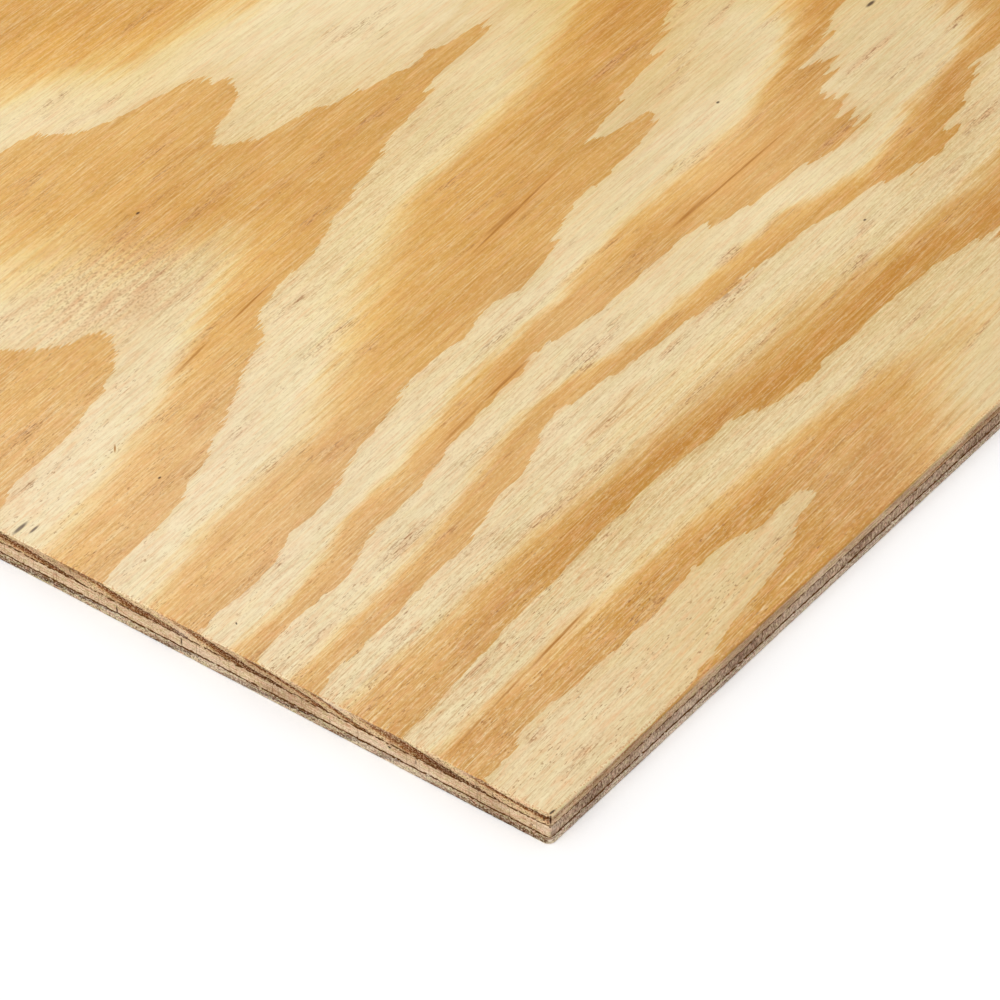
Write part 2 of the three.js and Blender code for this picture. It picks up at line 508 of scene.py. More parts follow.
class MeshMaker:
    """Collects the vertices and faces of one piece, in millimetres from the near corner."""

    def __init__(self, near_radius):
        self.outline = Outline(near_radius)
        self.places, self.faces, self.materials, self.endness = [], [], [], []
        self.count = 0

    def add(self, plan, z, endness=0.5):
        self.places.append(np.column_stack([plan, np.broadcast_to(z, len(plan))]))
        self.endness.append(np.broadcast_to(endness, len(plan)))
        first = self.count
        self.count += len(plan)
        return np.arange(first, self.count)

    def face(self, corners, material, facing_up=True):
        self.faces.append(tuple(int(c) for c in (corners if facing_up else corners[::-1])))
        self.materials.append(material)

    def wall(self, rows, material, below=None):
        """A wall round the outline from rows of (height, inset of each column), upwards.

        It starts from the loop below, where there is one.
        """
        loops = [self.add(self.outline.drawn_in(inset), z, self.outline.endness) for z, inset in rows]
        if below is not None:
            loops.insert(0, below)
        for lower, upper in zip(loops[:-1], loops[1:]):
            for corners in zip(lower, np.roll(lower, -1), np.roll(upper, -1), upper):
                self.face(corners, material)
        return loops[0], loops[-1]

    def sheet(self, loop, z, steps_a, steps_b, facing_up):
        """Fills a loop with a grid, joined to it by a strip of triangles."""
        aa, bb = np.meshgrid(grid_lines(LENGTH, *steps_a), grid_lines(WIDTH, *steps_b))
        grid = self.add(np.stack([aa.ravel(), bb.ravel()], 1), z).reshape(aa.shape)
        corners = np.stack([grid[:-1, :-1], grid[:-1, 1:], grid[1:, 1:], grid[1:, :-1]], -1)
        for quad in corners.reshape(-1, 4):
            self.face(quad, SURFACE, facing_up)
        rim = np.concatenate([grid[0, :-1], grid[:-1, -1], grid[-1, :0:-1], grid[:0:-1, 0]])
        self.stitch(loop, rim, facing_up)

    def stitch(self, outer, inner, facing_up):
        """Joins two closed loops of different counts by their shares of the way round."""
        places = np.concatenate(self.places)
        outer_at, inner_at = self.way_round(self.outline.plan), self.way_round(places[inner])
        n, m = len(outer), len(inner)
        i = j = 0
        while i < n or j < m:
            next_outer = outer_at[i + 1] if i + 1 < n else 1.0
            next_inner = inner_at[j + 1] if j + 1 < m else 1.0
            if j >= m or (i < n and next_outer <= next_inner):
                corners = (outer[i], outer[(i + 1) % n], inner[j % m])
                i += 1
            else:
                corners = (outer[i % n], inner[(j + 1) % m], inner[j])
                j += 1
            self.face(corners, SURFACE, facing_up)

    @staticmethod
    def way_round(points):
        """How far round the sheet each point is, from 0 to 1, by the nearest edge."""
        a, b = points[:, 0], points[:, 1]
        edge = np.stack([b, LENGTH - a, WIDTH - b, a], 1).argmin(1)
        ways = [a, LENGTH + b, 2 * LENGTH + WIDTH - a, 2 * LENGTH + 2 * WIDTH - b]
        return np.maximum.accumulate(np.choose(edge, ways) / (2 * LENGTH + 2 * WIDTH))

    def build(self, name):
        places = np.concatenate(self.places)
        mesh = bpy.data.meshes.new(name)
        mesh.from_pydata((places * MM + np.array(NEAR_CORNER)).tolist(), [], self.faces)
        mesh.polygons.foreach_set("material_index", self.materials)
        mesh.update()
        piece = add_object(name, mesh)
        attribute(piece, "endness", np.concatenate(self.endness))
        return piece, places


def add_object(name, data):
    made = bpy.data.objects.new(name, data)
    bpy.context.scene.collection.objects.link(made)
    return made


def attribute(piece, name, values):
    layer = piece.data.attributes.new(name, "FLOAT", "POINT")
    layer.data.foreach_set("value", np.asarray(values, np.float32))


# Grid of the face and of the underside, along and across: fine step, how far it holds, coarse step.
FACE_GRID = ((2.8, 300, 20.0), (1.75, 280, 10.0))
BACK_GRID = ((8.0, 300, 14.0), (5.0, 280, 7.0))
GRID_MARGIN, GRID_GROWTH = 3.5, 1.08


def grid_lines(end, fine, fine_until, coarse):
    """Grid lines across a face: close together near the near corner, wider beyond."""
    inside = spread(end - 2 * GRID_MARGIN, fine, fine_until, GRID_GROWTH, coarse)
    return GRID_MARGIN + inside


def straight_rows(low, high, steps):
    return [low + (high - low) * i / steps for i in range(steps + 1)]


def arris_rows(radius):
    """The rows of a quarter round: how far each is from the flat side, and in from the wall."""
    steps = 4
    angles = [math.pi / 2 * i / steps for i in range(1, steps + 1)]
    return [(radius * (1 - math.sin(t)), radius * (1 - math.cos(t))) for t in angles]


# What the face's materials read at each vertex, besides the rings.
FACE_ATTRIBUTES = {
    "tone_and_shade": tone_and_shade, "grain": across_grain, "coarseness": coarseness,
    "early_coarseness": early_coarseness, "yellowness": yellowness,
}


def face_piece():
    maker = MeshMaker(NEAR_RADIUS["face"])
    outline = maker.outline
    s, end = outline.along_edge, outline.endness
    rows = [(UPPER_GLUE, groove(s, seed=51))]
    for z in straight_rows(UPPER_GLUE + GROOVE_HALF_HEIGHT, TOP - FACE_ARRIS, steps=6):
        marks = saw_marks(s, z, TORN + TORN_ACROSS * end, seed=52)
        rows.append((z, marks + nicked(outline, z, FACE_NICKS)))
    wall_bottom, wall_top = maker.wall(rows, EDGE)
    rounding = []
    for drop, inset in arris_rows(FACE_ARRIS):
        z = TOP - drop
        wear = arris_chips(s, 0.5 * end + 0.15, seed=54) * (1 - drop / FACE_ARRIS)
        marks = saw_marks(s, z, TORN, seed=52) + nicked(outline, z, FACE_NICKS)
        rounding.append((z, inset + marks + wear))
    # The lower half of the rounding looks sawn, the upper half is part of the face.
    halfway = maker.wall(rounding[:2], EDGE, wall_top)[1]
    top = maker.wall(rounding[2:], SURFACE, halfway)[1]
    maker.sheet(top, TOP, *FACE_GRID, facing_up=True)
    maker.face(wall_bottom, EDGE, facing_up=False)
    piece, places = maker.build("pine_face")
    a, b, depth = places[:, 0], places[:, 1], TOP - places[:, 2]
    attribute(piece, "ring", veneer_rings(a, b, depth))
    slope_a, slope_b = face_rings.slopes(a, b)
    attribute(piece, "ring_slope_a", slope_a)
    attribute(piece, "ring_slope_b", slope_b)
    for name, worked_out in FACE_ATTRIBUTES.items():
        attribute(piece, name, worked_out(a, b))
    return piece


def core_piece():
    maker = MeshMaker(NEAR_RADIUS["core"])
    outline = maker.outline
    s = outline.along_edge
    rough = CORE_TORN + CORE_TORN_ACROSS * (1 - outline.endness)
    rows = [(LOWER_GLUE, groove(s, seed=61))]
    low, high = LOWER_GLUE + GROOVE_HALF_HEIGHT, UPPER_GLUE - GROOVE_HALF_HEIGHT
    for z in straight_rows(low, high, steps=8):
        rows.append((z, saw_marks(s, z, rough, seed=62) + nicked(outline, z, CORE_NICKS)))
    rows.append((UPPER_GLUE, groove(s, seed=63)))
    bottom, top = maker.wall(rows, SURFACE)
    maker.face(bottom, SURFACE, facing_up=False)
    maker.face(top, SURFACE)
    return maker.build("pine_core")[0]


def back_piece():
    maker = MeshMaker(NEAR_RADIUS["back"])
    outline = maker.outline
    s, end = outline.along_edge, outline.endness
    rows = []
    for drop, inset in reversed(arris_rows(BACK_ARRIS)):
        wear = arris_chips(s, 0.35, seed=74) * (1 - drop / BACK_ARRIS)
        rows.append((drop, inset + saw_marks(s, drop, TORN, seed=72) + wear))
    for z in straight_rows(BACK_ARRIS, LOWER_GLUE - GROOVE_HALF_HEIGHT, steps=5):
        rows.append((z, saw_marks(s, z, TORN + TORN_ACROSS * end, seed=72)))
    rows.append((LOWER_GLUE, groove(s, seed=73)))
    bottom, top = maker.wall(rows, EDGE)
    maker.sheet(bottom, 0.0, *BACK_GRID, facing_up=False)
    maker.face(top, EDGE)
    piece, places = maker.build("pine_back")
    a, b, z = places.T
    attribute(piece, "ring", back_rings(a, b) - z / RING)
    return piece


# ---- Node graphs ----


def linear(colour):
    """An sRGB colour, 0 to 255 each, as Blender's linear RGBA."""
    made = []
    for channel in colour:
        c = channel / 255
        made.append(c / 12.92 if c <= 0.04045 else ((c + 0.055) / 1.055) ** 2.4)
    return (*made, 1.0)


class Graph:
    """The node tree of a material or a world, with one short call for each kind of node."""

    def __init__(self, owner):
        owner.use_nodes = True
        self.owner = owner
        self.nodes, self.links = owner.node_tree.nodes, owner.node_tree.links
        self.nodes.clear()

    def node(self, kind, feeds=(), **settings):
        """A new node with its settings, its sockets fed by name or number."""
        made = self.nodes.new("ShaderNode" + kind)
        for key, value in settings.items():
            setattr(made, key, value)
        for key, value in dict(feeds).items():
            self.feed(made.inputs[key], value)
        return made

    def feed(self, socket, value):
        if isinstance(value, bpy.types.NodeSocket):
            self.links.new(value, socket)
        else:
            socket.default_value = value

    def math(self, operation, *values, clamp=False):
        return self.node("Math", enumerate(values), operation=operation, use_clamp=clamp).outputs[0]

    def add(self, *values):
        return functools.reduce(lambda total, value: self.math("ADD", total, value), values)

    def times(self, *values):
        return functools.reduce(lambda total, value: self.math("MULTIPLY", total, value), values)

    def attribute(self, name):
        return self.node("Attribute", attribute_name=name).outputs["Fac"]

    def mapped(self, where, place, size, seen_from_it=False):
        """Coordinates scaled and moved or, seen from a thing, in its own place and size."""
        kind = "TEXTURE" if seen_from_it else "POINT"
        feeds = {"Vector": where, "Location": place, "Scale": size}
        return self.node("Mapping", feeds, vector_type=kind)

    def parts(self, where):
        return self.node("SeparateXYZ", {0: where}).outputs

    def pair(self, x, y):
        return self.node("CombineXYZ", {0: x, 1: y}).outputs[0]

    def place(self):
        """Millimetres from the near corner: along the sheet, across it and above the floor."""
        metres = self.node("TexCoord").outputs["Object"]
        return self.parts(self.mapped(metres, -NEAR_CORNER / MM, (1 / MM,) * 3).outputs[0])

    def scaled(self, where, size, seed):
        """Coordinates that grow by 1 over each size, moved apart for each seed."""
        moved = (17.3 * seed, 5.7 * seed, 0)
        return self.mapped(where, moved, (1 / size[0], 1 / size[1], 1)).outputs[0]

    def noise(self, where, size, seed, detail=2, rough=0.5):
        """Noise from 0 to 1 in the plane, about 0.5, with the given size of its features."""
        feeds = {"Vector": self.scaled(where, size, seed), "Scale": 1, "Detail": detail,
                 "Roughness": rough}
        return self.node("TexNoise", feeds, noise_dimensions="2D").outputs["Fac"]

    def swing(self, *recipe):
        """The same noise, but about 0."""
        return self.math("SUBTRACT", self.noise(*recipe), 0.5)

    def ramp(self, value, stops):
        made = self.node("ValToRGB", {"Fac": value})
        elements = made.color_ramp.elements
        while len(elements) < len(stops):
            elements.new(1.0)
        for element, (place, colour) in zip(elements, stops):
            element.position = place
            element.color = linear(colour)
        return made.outputs["Color"]

    def between(self, value, low, high):
        """0 at low, 1 at high, held beyond them and smooth between."""
        ends = {"From Min": low, "From Max": high, "To Min": 0, "To Max": 1}
        if low > high:
            ends = {"From Min": high, "From Max": low, "To Min": 1, "To Max": 0}
        made = self.node("MapRange", {"Value": value, **ends}, interpolation_type="SMOOTHSTEP")
        return made.outputs["Result"]

    def mix(self, share, first, second, blend="MIX"):
        feeds = {"Factor": share}
        for socket, value in ((6, first), (7, second)):
            feeds[socket] = linear(value) if isinstance(value, tuple) else value
        return self.node("Mix", feeds, data_type="RGBA", blend_type=blend).outputs[2]

    def painted(self, colour, *layers, blend="MIX"):
        """Layers of paint over a colour.

        A layer is its paint, a value, where the value shows none of it, where it shows all of the
        amounts, and the amounts.
        """
        for paint, value, none_at, all_at, *amounts in layers:
            share = self.times(self.between(value, none_at, all_at), *amounts)
            colour = self.mix(share, colour, paint, blend)
        return colour

    def mark(self, where, centre, size, angle=0):
        """1 at the centre of an oval spot, fading to 0 at its rim; size is its half lengths."""
        made = self.mapped(where, (*centre, 0), (*size, 1), True)
        made.inputs["Rotation"].default_value = (0, 0, angle)
        away = self.node("VectorMath", {0: made.outputs[0]}, operation="LENGTH").outputs["Value"]
        return self.between(away, 1, 0.3)

    def finish(self, colour, height, roughness, relief, gloss=0.25):
        """A dull wood surface whose bumps are relief millimetres high."""
        bump = self.node("Bump", {"Strength": 1, "Distance": relief * MM, "Height": height})
        shader = self.node("BsdfPrincipled", {
            "Base Color": colour, "Roughness": roughness, "Specular IOR Level": gloss,
            "Normal": bump.outputs["Normal"]})
        return self.end("OutputMaterial", shader)

    def end(self, kind, shader):
        self.node(kind, {"Surface": shader.outputs[0]})
        return self.owner


# ---- Materials ----

# Places in one year's growth, from just after a sharp line (0) to the next one (1), and its colours
# at each of them, where the wood is fresh and where it is warm.
YEAR_STOPS = (0, 0.06, 0.36, 0.46, 0.53, 0.62, 0.8, 1)
FRESH = ((244, 219, 168), (248, 228, 184), (249, 232, 187), (249, 224, 167), (246, 209, 139),
         (241, 190, 108), (235, 185, 105), (231, 182, 107))
WARM = ((213, 182, 124), (220, 194, 141), (225, 203, 154), (227, 203, 151), (223, 188, 126),
        (208, 158, 80), (193, 132, 44), (194, 140, 56))

PALE_FIBRE = (255, 238, 194)
GOLD_FIBRE = (244, 202, 136)
PINK_FIBRE = (234, 172, 118)
DARK_FIBRE = (172, 114, 44)
PITCH = (172, 112, 38)
STAIN = (222, 158, 84)
YELLOW_TINT = (248, 238, 206)
PALE_TINT = (0, 60, 76)
BROWN_FLECK = (144, 90, 44)
MOTTLE = (214, 158, 112)
GREY_SPOT = (112, 96, 82)
DARK_SPOT = (62, 32, 10)
TORN_ARRIS = (188, 124, 74)
RUBBED_AND_HIGHLIT = (112, 94, 70)
# Sanded wear and a painted highlight, just under the arris of the ends.
PINK_TINT = (255, 214, 212)
GREEN_TINT = (230, 244, 200)
DULL_TINT = (208, 198, 196)
CLEAN_WOOD = (246, 226, 206)
# Painted shade inside holes, cracks and splits.
HOLE_SHADE = (56, 30, 12)

# Pitch streaks on the face: one end (a, b), the other end, half width, strength.
PITCH_STREAKS = [
    ((134, 127.6), (186, 132.6), 0.5, 1), ((146, 129.7), (166, 131.2), 0.8, 0.7),
    ((176, 96.7), (197, 97.6), 0.8, 0.9), ((170, 96.4), (238, 97.9), 0.42, 0.9),
    ((62, 154.1), (82, 156.7), 0.55, 0.75), ((83, 156.3), (108, 159), 0.4, 0.85),
    ((100, 66.2), (117, 67.6), 0.5, 0.5), ((108, 66.6), (128, 69.2), 0.5, 0.5),
    ((76, 90.5), (104, 93.2), 0.6, 0.6), ((97, 92.6), (121, 94.2), 0.5, 1),
    ((1, 27.7), (19, 29.7), 0.5, 0.7), ((14, 29), (36, 30.9), 0.35, 0.8),
    ((28, 30.1), (62, 32.8), 0.5, 1),
]
# Patches of brown flecks: middle (a, b), half length, half width.
FLECK_PATCHES = [
    (50.5, 76.9, 15, 3), (124, 82.5, 8, 2.2), (72, 58, 10, 1.8), (110.5, 65.9, 9, 1.4),
    (289, 90, 8, 1.6), (260.5, 63, 14, 2.4), (130.5, 56.4, 19, 1.2), (17.8, 17.3, 5, 2.2),
    (177.5, 80, 7, 2.4), (166, 70.4, 15, 2), (155.5, 55.3, 11, 1.2), (193, 54.6, 9, 2.6),
    (141.5, 70.4, 8, 1.6), (15, 72.7, 8, 0.9), (30, 39.7, 14, 1),
]
# A wide patch that the sander has left rough: middle, half length and half width.
ROUGH_PATCH = ((82, 188), (36, 23))
# Single spots: middle (a, b), half length, half width, lean from the fibres, colour.
SPOTS = [
    (3.4, 147, 3.6, 0.75, 0.05, GREY_SPOT), (4.9, 144.3, 2.4, 0.5, 0.05, GREY_SPOT),
    (283.5, 111.5, 2.6, 0.75, 0, DARK_SPOT), (106.8, 200.8, 0.9, 0.5, 0, DARK_SPOT),
    (226, 117.5, 0.8, 0.5, 0, DARK_SPOT), (7.5, 89.3, 0.6, 0.28, 0.9, DARK_SPOT),
    (208, 62.5, 0.7, 0.4, 0, DARK_SPOT), (35, 133.8, 0.7, 0.4, 0, DARK_SPOT),
    # The last spot, near black at the corner, is painted shade in the slit of the split corner.
    (36.8, 148.3, 2, 0.35, 0.7, DARK_FIBRE), (1.3, 0.6, 1.5, 0.36, -0.1, (34, 18, 8)),
]


def serrated(g, grain, grain_run):
    """The ring count with its lines frayed along the fibres, more so further up them."""
    teeth = g.swing(grain, (16, 0.55), 1, 1)
    fingers = g.swing(grain, (26, 2), 20, 0)
    scallops = g.swing(grain, (10, 2.4), 2)
    reach = g.add(g.times(teeth, 6.5), g.times(fingers, g.between(grain_run, 100, 240), 17))
    along_fibre = g.times(g.attribute("ring_slope_a"), reach)
    across_fibre = g.times(g.attribute("ring_slope_b"), scallops, 3.2)
    return g.add(g.attribute("ring"), along_fibre, across_fibre)


def add_pitch(g, plan, grain, colour):
    """Narrow resin streaks, each in a wider yellow stain."""
    streaks = stains = 0
    for start, end, half_width, strength in PITCH_STREAKS:
        run, rise = end[0] - start[0], end[1] - start[1]
        middle = ((start[0] + end[0]) / 2, (start[1] + end[1]) / 2)
        half_length, angle = math.hypot(run, rise) / 2, math.atan2(rise, run)
        streak = g.mark(plan, middle, (half_length, half_width), angle)
        stain = g.mark(plan, middle, (1.3 * half_length, 3), angle)
        streaks = g.math("MAXIMUM", streaks, g.times(streak, strength))
        stains = g.math("MAXIMUM", stains, g.times(stain, strength))
    thin = g.between(g.noise(grain, (9, 0.3), 31), 0.35, 0.62)
    shown = g.times(streaks, g.add(0.7, g.times(thin, 0.3)))
    colour = g.mix(g.times(stains, 0.3), colour, STAIN)
    return g.mix(shown, colour, PITCH)


def add_spots(g, plan, colour):
    for a, b, half_length, half_width, angle, paint in SPOTS:
        mark = g.mark(plan, (a, b), (half_length, half_width), angle)
        colour = g.mix(g.times(mark, 0.9), colour, paint)
    return colour


def add_fibres(g, grain, colour, late, coarse):
    """Long strands, which show most in latewood, and fine fibres over all."""
    strands = g.noise(grain, (32, 0.9), 4, 3, 0.6)
    fibre = g.noise(grain, (13, 0.42), 5, 2, 0.55)
    threads = g.noise(grain, (12, 0.36), 7, 1)
    specks = g.noise(grain, (2, 0.55), 6, 2, 0.8)
    in_late = g.add(0.34, g.times(late, 0.3))
    bunches = g.between(g.noise(grain, (46, 7), 17), 0.42, 0.6)
    bright = g.add(0.03, g.times(late, bunches, coarse, 0.26))
    dull = g.add(0.16, g.times(late, 0.04))
    colour = g.painted(
        colour,
        (GOLD_FIBRE, strands, 0.5, 0.72, in_late, 0.5),
        (DARK_FIBRE, strands, 0.5, 0.3, in_late, 0.31),
        (PALE_FIBRE, fibre, 0.5, 0.78, coarse, 0.3),
        (DARK_FIBRE, fibre, 0.5, 0.22, coarse, 0.28),
        (PALE_FIBRE, threads, 0.62, 0.74, bright),
        (DARK_FIBRE, threads, 0.38, 0.26, dull),
        (DARK_FIBRE, specks, 0.5, 0.75, coarse, 0.22),
        (PALE_FIBRE, specks, 0.5, 0.25, coarse, 0.22),
    )
    return colour, g.add(fibre, g.times(strands, 0.7), g.times(specks, 0.4))


def add_patches(g, plan, grain, colour, smudge):
    """Brown flecks gathered in patches."""
    patches = g.between(g.noise(grain, (34, 5), 9), 0.56, 0.84)
    for a, b, half_length, half_width in FLECK_PATCHES:
        mark = g.mark(plan, (a, b), (half_length, half_width), 0.05)
        patches = g.math("MAXIMUM", patches, mark)
    colour = g.mix(g.times(patches, g.add(0.05, g.times(smudge, 0.3))), colour, MOTTLE)
    dots = g.between(g.noise(grain, (1, 0.5), 11, 1), 0.52, 0.72)
    dashes = g.between(g.noise(grain, (4, 0.42), 15, 1), 0.56, 0.7)
    shown = g.math("MINIMUM", g.add(g.times(dots, 0.36), g.times(dashes, 0.62)), 0.8)
    return g.mix(g.times(patches, shown), colour, BROWN_FLECK)


def add_rough_patch(g, plan, grain, colour, smudge):
    rough = g.mark(plan, *ROUGH_PATCH)
    colour = g.mix(g.times(rough, g.add(0.08, g.times(smudge, 0.35))), colour, MOTTLE)
    sand = g.noise(grain, (1.2, 0.6), 22, 1, 0.7)
    return g.painted(colour, (BROWN_FLECK, sand, 0.52, 0.66, rough, 0.34))


def add_flecks(g, plan, grain, colour, coarse, near):
    """Pink and brown flecks, the more of them the nearer the corner and the coarser the wood."""
    pink = g.noise(grain, (9, 0.9), 8)
    colour = g.painted(colour, (PINK_FIBRE, pink, 0.48, 0.75, 0.22))
    smudge = g.between(g.noise(grain, (18, 1.6), 10), 0.4, 0.65)
    colour = add_patches(g, plan, grain, colour, smudge)
    colour = add_rough_patch(g, plan, grain, colour, smudge)
    blush = g.noise(grain, (7, 1.6), 14, 2, 0.6)
    colour = g.painted(colour, (PINK_FIBRE, blush, 0.5, 0.75, near, 0.3))
    crowded = g.between(g.noise(grain, (13, 3.4), 18, 1), 0.48, 0.68)
    pits = g.between(g.noise(grain, (1.5, 0.42), 16, 1), 0.62, 0.74)
    rare = g.between(g.noise(grain, (3.6, 0.42), 12, 1), 0.64, 0.76)
    in_pits = g.add(0.03, g.times(near, g.add(0.12, g.times(crowded, 0.46))))
    in_rare = g.times(coarse, g.add(0.1, g.times(crowded, 0.2)))
    return g.mix(g.add(g.times(pits, in_pits), g.times(rare, in_rare)), colour, BROWN_FLECK)


def shade_of_year(g, year, warmth):
    """The colour through one year's growth, from fresh (0) to warm (1)."""
    fresh, warm = (g.ramp(year, list(zip(YEAR_STOPS, shades))) for shades in (FRESH, WARM))
    return g.mix(warmth, fresh, warm)


def latewood(g, year):
    """0 in the pale part of a year's growth, 1 in the dark part."""
    return g.between(year, 0.45, 0.62)


def add_yellowing(g, colour):
    yellow = g.attribute("yellowness")
    colour = g.mix(g.math("MULTIPLY", yellow, 0.75, clamp=True), colour, YELLOW_TINT, "MULTIPLY")
    return g.mix(g.math("MULTIPLY", yellow, -1, clamp=True), colour, PALE_TINT, "SCREEN")


def pine_face_material():
    g = Graph(bpy.data.materials.new("pine_face"))
    a, b = g.place()[:2]
    plan, grain = g.pair(a, b), g.pair(a, g.attribute("grain"))
    year = g.math("FRACT", serrated(g, grain, a))
    # The bands inside a year wander along the fibres, but its sharp end stays where it is.
    wander = g.swing(grain, (44, 1.5), 13)
    year = g.math("MAXIMUM", g.math("MINIMUM", g.add(year, g.times(wander, 0.2)), 0.99), 0.02)
    drift = g.swing(grain, (42, 7), 3, 3)
    colour = shade_of_year(g, year, g.add(g.attribute("tone_and_shade"), g.times(drift, 0.75)))
    colour = add_yellowing(g, colour)
    late = latewood(g, year)
    in_late, in_early = g.attribute("coarseness"), g.attribute("early_coarseness")
    coarse = g.add(in_early, g.times(late, g.math("SUBTRACT", in_late, in_early)))
    colour, height = add_fibres(g, grain, colour, late, coarse)
    colour = add_flecks(g, plan, grain, colour, coarse, g.between(in_late, 0.7, 1.25))
    colour = mottled(g, g.scaled(grain, (5, 5), 0), colour, 0.08)
    colour = add_pitch(g, plan, grain, colour)
    torn = g.between(g.noise(plan, (0.5, 0.5), 19, 1), 0.5, 0.66)
    from_rim = g.math("MINIMUM", a, b)
    colour = g.painted(colour, (TORN_ARRIS, from_rim, 1.3, 0.3, torn, 0.6))
    return g.finish(add_spots(g, plan, colour), height, roughness=0.6, relief=0.06)


GLUE_RISE = 0.08  # the glue under the face has soaked up into it
# Glue lines on the edges: height, thickness, how much they break up, seed.
UPPER_LINE = (UPPER_GLUE + GLUE_RISE, 1.3, 0.36, 21)
LOWER_LINE = (LOWER_GLUE, 1.1, 0.28, 24)
GLUE_SHADES = ((58, 30, 8), (122, 80, 36))


def add_glue(g, wall, colour, height, thickness, breaks, seed):
    """The dark line of glue at a height, which wavers, swells and breaks up."""
    s, z = g.parts(wall)[:2]
    waver = g.times(g.swing(g.pair(s, 0), (5, 1), seed, 3, 0.6), 0.45)
    away = g.math("ABSOLUTE", g.math("SUBTRACT", g.add(z, waver), height))
    swell = g.noise(wall, (1.6, 0.5), seed + 1, 3, 0.65)
    half = g.times(g.math("SUBTRACT", swell, breaks), thickness)
    inside = g.between(g.math("SUBTRACT", away, half), 0.06, -0.06)
    return g.mix(inside, colour, g.mix(g.noise(wall, (1.2, 0.3), seed + 2), *GLUE_SHADES))


def speckled(g, wall, colour, dark, pale, amount):
    """The pores and torn fibre ends of sawn end grain."""
    fine = g.noise(wall, (0.5, 0.34), 2, 2, 0.7)
    broad = g.noise(wall, (1.5, 0.5), 3, 2, 0.7)
    colour = g.painted(
        colour,
        (dark, broad, 0.5, 0.68, amount, 0.6), (pale, broad, 0.5, 0.34, amount, 0.4),
        (dark, fine, 0.52, 0.68, amount), (pale, fine, 0.48, 0.32, amount, 0.8),
    )
    return colour, fine


def mottled(g, where, colour, amount):
    """Faint pink and green in the wood."""
    hue = g.noise(where, (2.2, 0.7), 8, 2, 0.6)
    tints = [(PINK_TINT, hue, 0.5, 0.7, amount), (GREEN_TINT, hue, 0.5, 0.3, amount)]
    return g.painted(colour, *tints, blend="MULTIPLY")


def clouded(g, wall, colour, amount):
    """Broad darker and paler stretches of an edge."""
    broad = g.noise(wall, (24, 6), 9, 2, 0.6)
    colour = g.painted(colour, (DULL_TINT, broad, 0.5, 0.7, amount), blend="MULTIPLY")
    return g.painted(colour, (CLEAN_WOOD, broad, 0.5, 0.3, amount, 0.35))


def wall_place(g):
    """Along the edge and up it, as one pair."""
    a, b, z = g.place()
    return g.pair(g.add(a, b), z)


def frayed_year(g, where, size, amount):
    fray = g.times(g.swing(where, size, 1, 3), amount)
    return g.math("FRACT", g.add(g.attribute("ring"), fray))


def finish_edge(g, wall, side, end, bumps, tint, clouds, glue_lines, shaded_holes=(), relief=0.15):
    """What every edge has over the grain of the sides and the ends, up to its dull finish."""
    endness = g.attribute("endness")
    colour = mottled(g, wall, g.mix(endness, side, end), tint)
    colour = clouded(g, wall, colour, clouds)
    # Holes and splits on the ends are darkened with painted shade.
    for middle, size in shaded_holes:
        colour = g.painted(colour, (HOLE_SHADE, endness, 0.1, 0.4, g.mark(wall, middle, size)))
    for line in glue_lines:
        colour = add_glue(g, wall, colour, *line)
    return g.finish(colour, bumps, roughness=0.8, relief=relief, gloss=0.04)


# Painted shade in the split corner on the near end: middle (along, height), half length, half height.
SPLIT_SHADE = [((0.75, 7.3), (0.3, 2)), ((1.9, 7), (0.2, 0.9)), ((3.6, 7.9), (0.6, 0.25))]
# Pinholes in the core there, darkened with painted shade.
CORE_HOLE_SHADE = [((5, 3.6), (0.35, 0.6)), ((50.5, 3.4), (0.3, 1.2)), ((42, 4.6), (0.6, 0.4)),
              ((98.6, 3.9), (0.25, 1.6)), ((116.8, 3.2), (0.3, 1.8)), ((35, 4.2), (0.2, 1))]


def face_edge_material():
    g = Graph(bpy.data.materials.new("pine_face_edge"))
    wall, height = wall_place(g), g.place()[2]
    year = frayed_year(g, wall, (1.5, 0.5), 0.2)
    end = g.ramp(year, [(0, (228, 195, 152)), (0.5, (224, 188, 142)), (0.6, (196, 142, 88)),
                        (0.68, (136, 78, 28)), (0.88, (114, 58, 14)), (1, (72, 34, 4))])
    end, bumps = speckled(g, wall, end, (88, 46, 10), (248, 218, 172), 0.7)
    # The end is paler just under the arris: sanded wear, and a painted highlight where light from above
    # catches it.
    end = g.painted(end, (RUBBED_AND_HIGHLIT, height, TOP - 0.8, TOP - 0.2), blend="SCREEN")
    side = g.ramp(year, [(0, (216, 186, 148)), (0.5, (206, 174, 136)), (0.75, (196, 158, 116)),
                         (0.88, (160, 114, 68)), (1, (126, 80, 38))])
    threads = g.noise(wall, (14, 0.25), 4, 3, 0.6)
    side = g.painted(side, ((136, 98, 64), threads, 0.5, 0.68, 0.7),
                     ((246, 220, 188), threads, 0.47, 0.32, 0.6))
    side = speckled(g, wall, side, (124, 84, 50), (246, 222, 190), 0.45)[0]
    skin = shade_of_year(g, year, g.attribute("tone_and_shade"))
    side = g.painted(side, (skin, height, TOP - 1.1, TOP - 0.4, 0.75))
    return finish_edge(g, wall, side, end, bumps, tint=0.42, clouds=0.65, shaded_holes=SPLIT_SHADE,
                       glue_lines=[UPPER_LINE])


